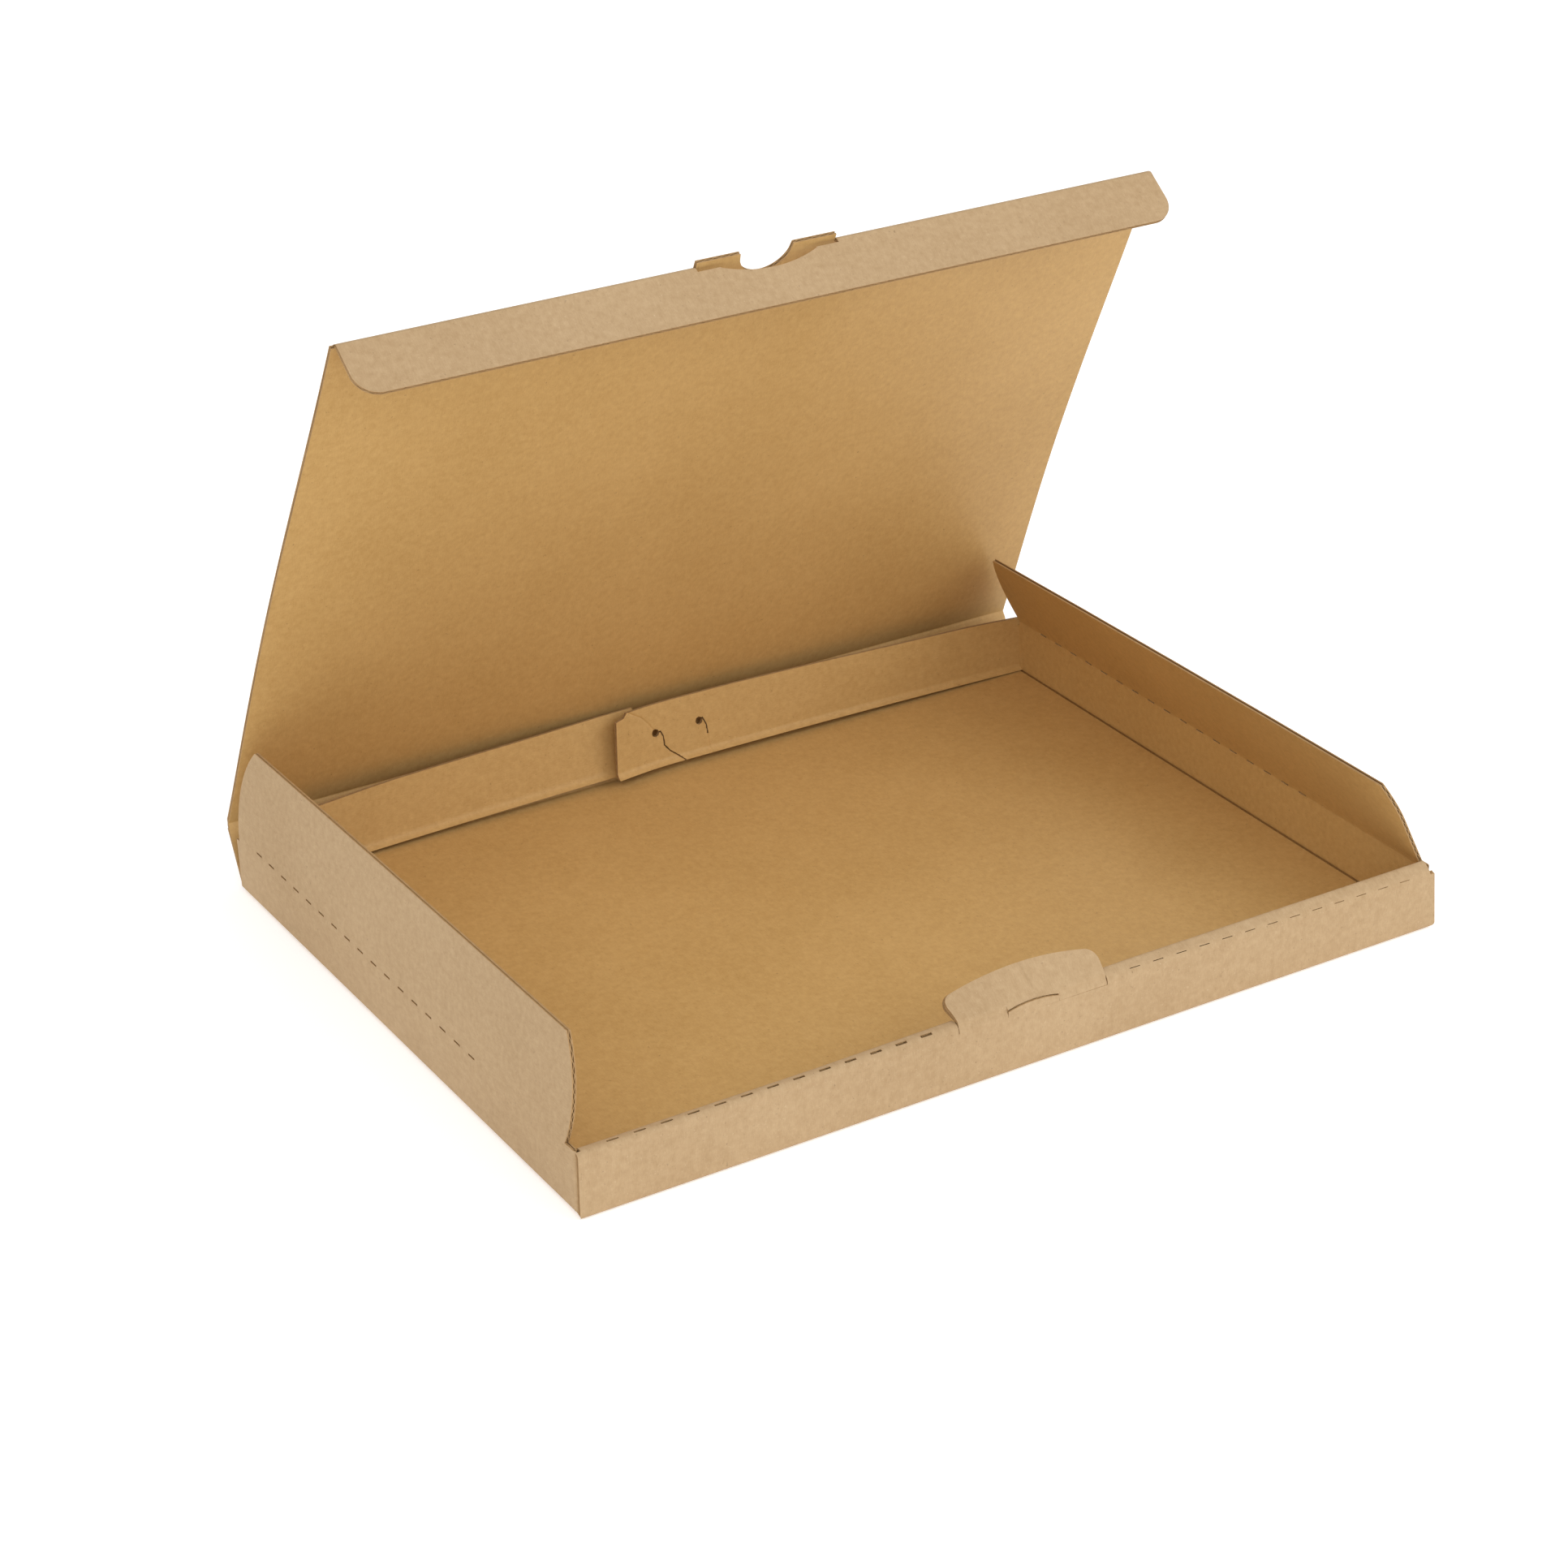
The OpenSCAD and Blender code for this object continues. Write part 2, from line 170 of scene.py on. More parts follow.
class Shade:
    """A shader value that adds its Math node when it is used in an expression."""

    def __init__(self, graph, socket):
        self.graph = graph
        self.socket = socket

    def _math(self, operation, *values):
        node = self.graph.node("ShaderNodeMath", {"operation": operation}, values)
        return Shade(self.graph, node.outputs[0])

    def __add__(self, other):
        return self._math("ADD", self, other)

    def __radd__(self, other):
        return self._math("ADD", other, self)

    def __sub__(self, other):
        return self._math("SUBTRACT", self, other)

    def __rsub__(self, other):
        return self._math("SUBTRACT", other, self)

    def __mul__(self, other):
        return self._math("MULTIPLY", self, other)

    def __rmul__(self, other):
        return self._math("MULTIPLY", other, self)

    def sine(self):
        return self._math("SINE", self)

    def clipped(self, low, high):
        """Goes from 0 at low to 1 at high, and stays there."""
        node = self.graph.node("ShaderNodeMapRange", {"clamp": True}, {0: self, 1: low, 2: high})
        return Shade(self.graph, node.outputs[0])


class Graph:
    """The node tree of a new material or of the world, emptied."""

    def __init__(self, owner):
        owner.use_nodes = True
        self.tree = owner.node_tree
        self.tree.nodes.clear()

    def node(self, kind, settings=None, values=()):
        """Adds a node: its settings first, then the values or links of its sockets."""
        made = self.tree.nodes.new(kind)
        for key, value in (settings or {}).items():
            setattr(made, key, value)
        pairs = values.items() if isinstance(values, dict) else enumerate(values)
        for key, value in pairs:
            if isinstance(value, Shade):
                self.tree.links.new(value.socket, made.inputs[key])
            else:
                made.inputs[key].default_value = value
        return made

    def out(self, node, socket=0):
        return Shade(self, node.outputs[socket])

    def mix(self, factor, first, second):
        """The colour that is factor of the way from first to second."""
        node = self.node("ShaderNodeMix", {"data_type": "RGBA"}, {0: factor, 6: first, 7: second})
        return self.out(node, 2)

    def noise(self, vector, scale, detail=3.0, roughness=0.5):
        node = self.node("ShaderNodeTexNoise", {},
                         {"Vector": vector, "Scale": scale, "Detail": detail,
                          "Roughness": roughness})
        return self.out(node, "Fac")


def srgb(red, green, blue):
    """A colour given as screen values 0 to 255, in the linear values that a shader takes."""
    def linear(value):
        part = value / 255
        return part / 12.92 if part <= 0.04045 else ((part + 0.055) / 1.055) ** 2.4
    return (linear(red), linear(green), linear(blue), 1.0)


def kraft(name, pale, plain, deep, washboard, rough=0.72, gloss=0.28):
    """Brown kraft liner: mottled pulp, fine fibres along the machine direction, dark and pale
    specks, and the faint washboard that the flutes press through the paper. Its scales are in
    features for each metre; the numbers beside the noises are where each one starts and ends, and
    its share."""
    material = bpy.data.materials.new(name)
    g = Graph(material)
    place = g.out(g.node("ShaderNodeTexCoord"), "Object")
    sheet = g.out(g.node("ShaderNodeUVMap", {"uv_map": "sheet"}))
    cloud = g.noise(place, 14, 4, 0.55)
    pulp = g.noise(place, 420, 5, 0.65)
    stretched = g.out(g.node("ShaderNodeMapping", {}, {"Vector": sheet,
                                                      "Scale": (2600, 420, 1)}))
    fibre = g.noise(stretched, 1, 4, 0.6)
    speck = g.noise(place, 1500, 2, 0.5)
    flutes = (g.out(g.node("ShaderNodeSeparateXYZ", {}, {0: sheet}))
              * (2 * math.pi / FLUTE_PITCH)).sine()
    tone = cloud.clipped(0.3, 0.7) * 0.26 + pulp.clipped(0.3, 0.7) * 0.44
    tone = tone + fibre.clipped(0.3, 0.75) * 0.3 + flutes * (0.05 * washboard)
    colour = g.mix(tone, deep, plain)
    colour = g.mix(speck.clipped(0.66, 0.8) * 0.5, colour, pale)
    colour = g.mix(g.noise(place, 900, 2, 0.5).clipped(0.69, 0.8) * 0.55, colour,
                   tuple(0.45 * part for part in deep[:3]) + (1.0,))
    height = pulp * 0.5 + fibre * 0.35 + speck * 0.15 + flutes * (0.3 * washboard)
    bump = g.out(g.node("ShaderNodeBump", {}, {"Strength": 0.35, "Distance": 0.12 * MM,
                                               "Height": height}))
    shader = g.node("ShaderNodeBsdfPrincipled", {},
                    {"Base Color": colour, "Roughness": rough + pulp * 0.2, "Normal": bump,
                     "Specular IOR Level": gloss})
    g.node("ShaderNodeOutputMaterial", {}, {0: g.out(shader)})
    return material


def outer_liner():
    return kraft("kraft_outside", srgb(211, 187, 155), srgb(196, 168, 131), srgb(167, 137, 99), 0.4)


def inner_liner():
    return kraft("kraft_inside", srgb(221, 188, 133), srgb(208, 170, 110), srgb(179, 140, 80), 0.2,
                 rough=0.5, gloss=0.5)


def cut_board():
    return kraft("kraft_cut_edge", srgb(206, 176, 132), srgb(184, 150, 106), srgb(156, 121, 78), 0)


# A darker copy of the inner liner: painted shade for the valley along the inner bend where the side
# walls fold up from the floor.
def crease_shade_liner():
    return kraft("kraft_creased", srgb(166, 130, 80), srgb(150, 114, 66), srgb(128, 93, 50), 0)


LOOKS = [outer_liner(), inner_liner(), cut_board(), crease_shade_liner()]
OUTSIDE, INSIDE, EDGE, PAINTED_CREASE_SHADE = range(4)


def slab(top, bottom, keep, top_look, bottom_look):
    """A closed sheet between two grids of points. keep says which cells of the grid are there;
    every border of a kept cell gets a wall, so cut-outs are closed as well. A look is one number,
    or one for every cell."""
    rows, cols = top.shape[:2]
    index = np.arange(rows * cols).reshape(rows, cols)
    a, b = index[:-1, :-1], index[1:, :-1]
    c, d = index[1:, 1:], index[:-1, 1:]
    under = rows * cols
    ring = np.stack([a, b, c, d], -1)[keep]
    around = np.pad(keep, 1)
    borders = [(a, b, around[1:-1, :-2]), (b, c, around[2:, 1:-1]),
               (c, d, around[1:-1, 2:]), (d, a, around[:-2, 1:-1])]
    walls = []
    for first, second, neighbour in borders:
        p, q = first[keep & ~neighbour], second[keep & ~neighbour]
        walls.append(np.stack([q, p, p + under, q + under], -1))
    walls = np.concatenate(walls)
    quads = np.concatenate([ring, ring[:, ::-1] + under, walls])
    looks = [np.broadcast_to(look, keep.shape)[keep] for look in (top_look, bottom_look)]
    looks = np.concatenate(looks + [np.full(len(walls), EDGE)])
    middle = (rows // 2, cols // 2)
    across = top[middle[0], middle[1]] - top[middle[0] - 1, middle[1]]
    along = top[middle[0], middle[1]] - top[middle[0], middle[1] - 1]
    if np.dot(np.cross(across, along), top[middle] - bottom[middle]) < 0:
        quads = quads[:, ::-1]
    return np.concatenate([top.reshape(-1, 3), bottom.reshape(-1, 3)]), quads, looks


def piece(name, hold, shells):
    """One mesh from closed shells of (points, quads, looks, sheet coordinates). hold is the body
    that carries it, or (body, body, start, end) for a strip between two bodies; that tuple is
    not used, and such a strip is only fixed in place where it is built."""
    points, quads, looks, sheet = [], [], [], []
    start = 0
    for shell_points, shell_quads, shell_looks, shell_sheet in shells:
        points.append(shell_points)
        quads.append(shell_quads + start)
        looks.append(shell_looks)
        sheet.append(shell_sheet)
        start += len(shell_points)
    points, quads = np.concatenate(points), np.concatenate(quads)
    looks, sheet = np.concatenate(looks), np.concatenate(sheet)
    used, quads = np.unique(quads, return_inverse=True)
    quads = quads.reshape(-1, 4)
    mesh = bpy.data.meshes.new(name)
    mesh.from_pydata(points[used], [], quads)
    for look in LOOKS:
        mesh.materials.append(look)
    mesh.polygons.foreach_set("material_index", looks.astype(np.int32))
    mesh.polygons.foreach_set("use_smooth", np.ones(len(quads), bool))
    layer = mesh.uv_layers.new(name="sheet")
    layer.uv.foreach_set("vector", sheet[used][quads.ravel()].astype(np.float32).ravel())
    mesh.set_sharp_from_angle(angle=math.radians(35))
    mesh.update()
    made = bpy.data.objects.new(name, mesh)
    bpy.context.scene.collection.objects.link(made)
    if isinstance(hold, str):
        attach(made, hold)
    else:
        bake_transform(made)
    return made


def grid(us, ts, low, high):
    """Sheet coordinates of a grid: v runs from low(u) to high(u) as t runs from 0 to 1."""
    u, t = np.meshgrid(us, ts, indexing="ij")
    v = low(u) + (high(u) - low(u)) * t
    return u, v


def everywhere(u, v):
    """Keeps every cell."""
    return np.ones(u.shape, bool)


def cells(us, ts, low, high, keep):
    """Which cells of a grid are there, asked at the middle of each."""
    u, v = grid((us[1:] + us[:-1]) / 2, (ts[1:] + ts[:-1]) / 2, low, high)
    return keep(u, v)


def board(name, hold, us, ts, place, low=None, high=None, keep=everywhere,
          looks=(OUTSIDE, INSIDE), sheet=lambda u, v: (u, v)):
    """A panel of corrugated board. us and ts are the grid lines, ts the places along the flutes or,
    with low and high given, the parts 0 to 1 of the way between them. place carries (u, v, n) to
    its place, n being the height above the middle of the board. looks names the liners of the +n
    and the -n side, or is a function of (u, v) that does. The waved sheet between them is
    n = amplitude * sin(2 pi u / pitch)."""
    us, ts = np.asarray(us, float), np.asarray(ts, float)
    low, high = low or constant(0), high or constant(1)
    u, v = grid(us, ts, low, high)
    kept = cells(us, ts, low, high, keep)
    shells = []
    for side, look in zip((1, -1), looks):
        face = place(u, v, np.full(u.shape, side * BOARD / 2))
        back = place(u, v, np.full(u.shape, side * (BOARD / 2 - LINER)))
        look = cells(us, ts, low, high, look) if callable(look) else look
        shell = slab(face, back, kept, look, EDGE)
        flat = np.stack([part.ravel() for part in sheet(u, v)], -1)
        shells.append(shell + (np.concatenate([flat, flat]),))
    count = int((us[-1] - us[0]) / FLUTE_PITCH * FLUTE_SAMPLES) + 2
    fine = np.unique(np.concatenate([us, np.linspace(us[0], us[-1], count)]))
    u, v = grid(fine, ts, low, high)
    amplitude = BOARD / 2 - LINER - MEDIUM / 2
    wave = amplitude * np.sin(2 * np.pi * sheet(u, v)[0] / FLUTE_PITCH)
    shell = slab(place(u, v, wave + MEDIUM / 2), place(u, v, wave - MEDIUM / 2),
                 cells(fine, ts, low, high, keep), EDGE, EDGE)
    flat = np.stack([part.ravel() for part in sheet(u, v)], -1)
    shells.append(shell + (np.concatenate([flat, flat]),))
    return piece(name, hold, shells)


def flat_place(origin, along_u, along_v, normal, bow=None):
    """Places a panel in a plane, with an optional bow(u, v) out of it."""
    origin, along_u = np.asarray(origin, float), np.asarray(along_u, float)
    along_v, normal = np.asarray(along_v, float), np.asarray(normal, float)

    def place(u, v, n):
        lift = n + (bow(u, v) if bow else 0)
        return (origin + u[..., None] * along_u + v[..., None] * along_v
                + lift[..., None] * normal)
    return place


def spread(*stops):
    """Grid lines through (stop, count, stop, count, stop ...), evenly between two stops."""
    lines = [np.linspace(stops[i], stops[i + 2], stops[i + 1] + 1)
             for i in range(0, len(stops) - 2, 2)]
    return np.unique(np.concatenate(lines))


def step_lines(at, width=0.001 * MM):
    """Two grid lines so close together that an outline steps between them."""
    return [at - width, at + width]


def constant(value):
    return lambda u: np.full(np.shape(u), float(value))


def arc_over(u, left, right, rise):
    """Height of the circular arc over a chord from left to right that rises by rise."""
    half = (right - left) / 2
    radius = (half ** 2 + rise ** 2) / (2 * rise)
    return np.sqrt(np.maximum(radius ** 2 - (u - (left + right) / 2) ** 2, 0)) - (radius - rise)


class FoldPath:
    """A line of straight runs joined by bends, given as (length, turn) pairs; a turn follows its
    run as an arc. It carries a distance along it to a point and the normal to its left."""

    def __init__(self, start, heading, runs, radius=BEND_MID):
        self.legs = []
        self.radius = radius
        point, angle, at = np.asarray(start, float), heading, 0.0
        for length, turn in runs:
            self.legs.append((at, length, point, angle, 0.0))
            point = point + length * np.array([math.cos(angle), math.sin(angle)])
            at += length
            if turn:
                self.legs.append((at, abs(turn) * radius, point, angle, turn))
                side = math.copysign(radius, turn)
                centre = point + side * np.array([-math.sin(angle), math.cos(angle)])
                at += abs(turn) * radius
                angle += turn
                point = centre - side * np.array([-math.sin(angle), math.cos(angle)])
        self.length = at

    def stops(self, bend_steps=8, run_steps=1):
        """Grid lines along the path, close together in its bends."""
        lines = [np.linspace(at, at + size, (bend_steps if turn else run_steps) + 1)
                 for at, size, _, _, turn in self.legs if size > 0]
        return np.unique(np.concatenate(lines).round(9))

    def at(self, s, n):
        """The two coordinates of points at distances s, n to the left of the line."""
        x, y, heading = np.zeros(s.shape), np.zeros(s.shape), np.zeros(s.shape)
        for at, size, point, angle, turn in self.legs:
            if not size:
                continue
            here = (s >= at - 1e-9) & (s <= at + size + 1e-9)
            local = s - at
            if turn:
                side = math.copysign(self.radius, turn)
                now = angle + local / side
                px = point[0] + side * (np.sin(now) - math.sin(angle))
                py = point[1] - side * (np.cos(now) - math.cos(angle))
            else:
                now = np.full(s.shape, angle)
                px = point[0] + local * math.cos(angle)
                py = point[1] + local * math.sin(angle)
            x, y = np.where(here, px, x), np.where(here, py, y)
            heading = np.where(here, now, heading)
        return x - n * np.sin(heading), y + n * np.cos(heading)


RIGHT_ANGLE = math.pi / 2


def crease_path(point, heading, turn, half=CREASE_HALF):
    """The bend of a crease strip: tangent to both panels at half before and after the axis."""
    start = np.asarray(point, float) - half * heading_vector(heading)
    return FoldPath(start, heading, [(0, turn)], half / math.tan(abs(turn) / 2))


def crushed(s, n, middle, width=0.7 * MM, depth=CRUSH):
    """Height n in the board where the crease crushes it: n * (1 - depth * a bell curve of s)."""
    return n * (1 - depth * np.exp(-((s - middle) / width) ** 2))


def heading_vector(angle):
    return np.array([math.cos(angle), math.sin(angle)])


# Floor and double front wall: one strip that runs forward over the floor, up, over and down again
FLOOR_Y = BACK_CREASE[1] - CREASE_HALF
front_runs = [(FLOOR_Y + HALF_D - BEND, -RIGHT_ANGLE),
              (WALL_H - 2 * BEND, -RIGHT_ANGLE),
              (ROLL_D - 2 * BEND, -RIGHT_ANGLE),
              (WALL_H - BEND - GAP, 0)]
front_path = FoldPath([FLOOR_Y, BOARD / 2], math.pi, front_runs)
ARC = BEND_MID * RIGHT_ANGLE
S_FLOOR = front_runs[0][0]
S_WALL = S_FLOOR + ARC
S_ROLL = S_WALL + front_runs[1][0]
S_FOLD = S_ROLL + ARC / 2
S_TOP = S_ROLL + ARC
S_INNER = S_TOP + front_runs[2][0] + ARC
S_FOOT = S_INNER + WALL_H - BEND - BOARD
STRIP_FOOT_Z = TONGUE_CREASE[2] - CREASE_HALF
S_WINDOW_LOW = S_WALL + STRIP_FOOT_Z - BEND
S_WINDOW_HIGH = S_INNER + WALL_H - BEND - WINDOW_FOOT_Z
S_PERF = S_ROLL + PERF_ALONG_BEND * ARC
SLOT_REAR = FLOOR_Y - (-HALF_D + ROLL_D + FOOT_PLAY)
SLOT_FRONT = FLOOR_Y - (-HALF_D + ROLL_D - BOARD - FOOT_PLAY)
ROLL_HALF = HALF_W - BOARD - GAP
front_perfs = FRONT_PERF_FIRST + FRONT_PERF_PITCH * np.arange(FRONT_PERF_COUNT)


def in_cuts(at, middles):
    """Whether a place lies in one of the perforation cuts."""
    return (np.abs(at[..., None] - middles) < PERF_CUT / 2).any(-1)


def front_keep(x, s):
    """The strip without its window, floor slots and perforations, with its two foot tabs."""
    side = np.abs(x)
    half = np.where(s < S_FLOOR, HALF_W - BEND, np.where(s < S_FOLD, HALF_W, ROLL_HALF))
    kept = side < half
    kept &= ~((side < WINDOW_HALF) & (s > S_WINDOW_LOW) & (s < S_WINDOW_HIGH))
    kept &= ~((np.abs(side - FOOT_TAB_X) < FOOT_TAB_W / 2 + FOOT_PLAY)
              & (s > SLOT_REAR) & (s < SLOT_FRONT))
    kept &= (s < S_FOOT) | (np.abs(side - FOOT_TAB_X) < FOOT_TAB_W / 2)
    cut = np.where(x < 0, *FRONT_PERF_H)
    kept &= ~(in_cuts(side, front_perfs) & (np.abs(s - S_PERF) < cut / 2))
    return kept


front_u = np.concatenate([[0, WINDOW_HALF, HALF_W - BEND, ROLL_HALF, HALF_W],
                          FOOT_TAB_X + np.array([-1, 1]) * FOOT_TAB_W / 2,
                          FOOT_TAB_X + np.array([-1, 1]) * (FOOT_TAB_W / 2 + FOOT_PLAY),
                          front_perfs - PERF_CUT / 2, front_perfs + PERF_CUT / 2])
front_s = np.concatenate([front_path.stops(), [SLOT_REAR, SLOT_FRONT, S_WINDOW_LOW,
                                               S_WINDOW_HIGH, S_FOOT],
                          S_PERF + np.outer([-0.5, 0.5], FRONT_PERF_H).ravel()])

# Wear of the front wall: sizes, and the places x from and to which each of them grows
PRESSED = 1 * MM
SPRUNG = 2.1 * MM
SPRUNG_BACK = 0.2 * MM
SPRUNG_FROM, SPRUNG_TO = -80 * MM, 40 * MM
LOWER_CORNER_OUT = 1.7 * MM
LOWER_CORNER_FROM = HALF_W * 5 / 7
PINCHED = 0.97
PERF_SLANT = (0.9 * MM, -0.9 * MM)
PERF_SLANT_HALF = 2 * MM


def front_place(x, s, n):
    """The folded wall is uneven: towards the right the front fold of its roll is pressed down and
    the rear one springs up and back, and its lower right corner stands out. Both lower corners
    follow the round bend of the side walls, as 1 - sin(angle of the bend). The perforated line
    slants from the top of the roll at the left to its front bend at the right."""
    slant = np.interp(x, [-HALF_W, HALF_W], PERF_SLANT)
    y, z = front_path.at(s + slant * np.clip(1 - np.abs(s - S_PERF) / PERF_SLANT_HALF, 0, 1), n)
    wall = np.where(s > S_FLOOR, 1.0, 0.0)
    rise = wall * np.clip((z - BEND) / (WALL_H - BEND), 0, 1)
    depth = np.clip((y + HALF_D) / ROLL_D, 0, 1)
    sprung = rise * depth * np.interp(x, [SPRUNG_FROM, SPRUNG_TO], [0, 1])
    pressed = rise * (1 - depth) * np.interp(x, [0, HALF_W], [0, 1])
    corner_out = np.interp(x, [LOWER_CORNER_FROM, HALF_W], [0, 1]) * (1 - rise)
    corner_out = corner_out * wall * (s < S_TOP)
    beyond = np.clip(np.abs(x) - (HALF_W - BEND), 0, None)
    bend = np.clip((s - S_FLOOR) / ARC, 0, 1) * RIGHT_ANGLE
    x = x - PINCHED * np.sign(x) * beyond * (1 - np.sin(bend)) + LOWER_CORNER_OUT * corner_out
    return np.stack([x, y + SPRUNG_BACK * sprung, z + SPRUNG * sprung - PRESSED * pressed], -1)


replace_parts(board("floor_and_front", "tray", np.unique(np.concatenate([-front_u, front_u])),
                  np.unique(front_s.round(9)), front_place, keep=front_keep), "tray")


# The crescent lip that stays on the front wall under the tongue
def lip_place(x, z, n):
    return np.stack([x, np.full(x.shape, TONGUE_CREASE[1]) - n, z], -1)


def lip_end(x):
    return TONGUE_CREASE[2] + arc_over(x, -LIP_HALF, LIP_HALF, LIP_H)


board("front_lip", "tray", np.linspace(-LIP_HALF, LIP_HALF, 25), np.linspace(0, 1, 3),
      lip_place, constant(STRIP_FOOT_Z), lip_end)

# Side walls with their floor bends, front corners and front dust flaps
flap_low, flap_high = wide_box("left_side_flap")


def arc_edge(w, slant, width, sag):
    """Edge of a flap: the arc from (0, 0) to (slant, width) that bulges out by sag, as the
    distance along the crease at width w."""
    chord = math.hypot(slant, width)
    radius = (chord ** 2 / 4 + sag ** 2) / (2 * sag)
    centre_x = slant / 2 + width / chord * (radius - sag)
    centre_w = width / 2 - slant / chord * (radius - sag)
    return centre_x - np.sqrt(radius ** 2 - (w - centre_w) ** 2)


def bulged_edge(w):
    return arc_edge(w, FLAP_FRONT_SLANT, FLAP_W, FLAP_FRONT_BOW)


def rear_edge(w):
    return arc_edge(w, FLAP_REAR_SLANT, FLAP_W, FLAP_REAR_BOW)


def left_rear_edge(w):
    """The left flap's rear edge, a little further cut back at its tip."""
    return LEFT_REAR_IN + arc_edge(w, LEFT_REAR_SLANT, FLAP_W, LEFT_REAR_BOW)


def right_rear_edge(w):
    """The right flap's rear edge, which is less cut back."""
    return RIGHT_REAR_IN + arc_edge(w, RIGHT_REAR_SLANT, FLAP_W, RIGHT_REAR_BOW)


flap_widths = np.linspace(0, FLAP_W, 400)
BULGE = bulged_edge(flap_widths).min()
FLAP_FRONT_Y = flap_low[1] - BULGE


def worn_edge(w):
    """The right flap's front end stands straight, and turns back near its tip only, with the
    square of the width."""
    turned = np.clip((w - TURNED_FROM) / (FLAP_W - TURNED_FROM), 0, 1) ** 2
    return BULGE + TURNED_CLEAR + TURNED_BACK * turned


FLAP_REAR_Y = flap_high[1] + rear_edge(flap_widths).min()
SIDE_TOP_Z = SIDE_CREASE_Z - CREASE_HALF
FRONT_CORNER_Z = WALL_H - GAP
FLAP_SLIT = 0.1 * MM
FRONT_DUST_Y = -HALF_D + ROLL_D / 2
CORNER_Y = FRONT_DUST_Y - BOARD / 2 + BEND
CORNER_TOP_Z = WALL_H - BOARD - GAP
side_path = FoldPath([-HALF_W + BEND, BOARD / 2], math.pi,
                     [(0, -RIGHT_ANGLE), (FRONT_CORNER_Z - BEND, 0)])
S_SIDE_TOP = ARC + SIDE_TOP_Z - BEND
SIDE_REAR_Y = BACK_CREASE[1] - BOARD / 2 - GAP
SIDE_REAR_SLANT = 0.8 * MM
SIDE_REAR_FROM = 100 * MM
WALL_CREASE_W = 0.9 * MM
WALL_CRUSH = 0.9
FRONT_END_RUN, REAR_END_RUN = 20 * MM, 15 * MM
corner_path = FoldPath([-SIDE_CREASE_X, CORNER_Y], -RIGHT_ANGLE,
                       [(0, RIGHT_ANGLE), (FRONT_DUST_LEN - BEND, 0)])
side_perfs = SIDE_PERF_FIRST + SIDE_PERF_PITCH * np.arange(SIDE_PERF_COUNT)


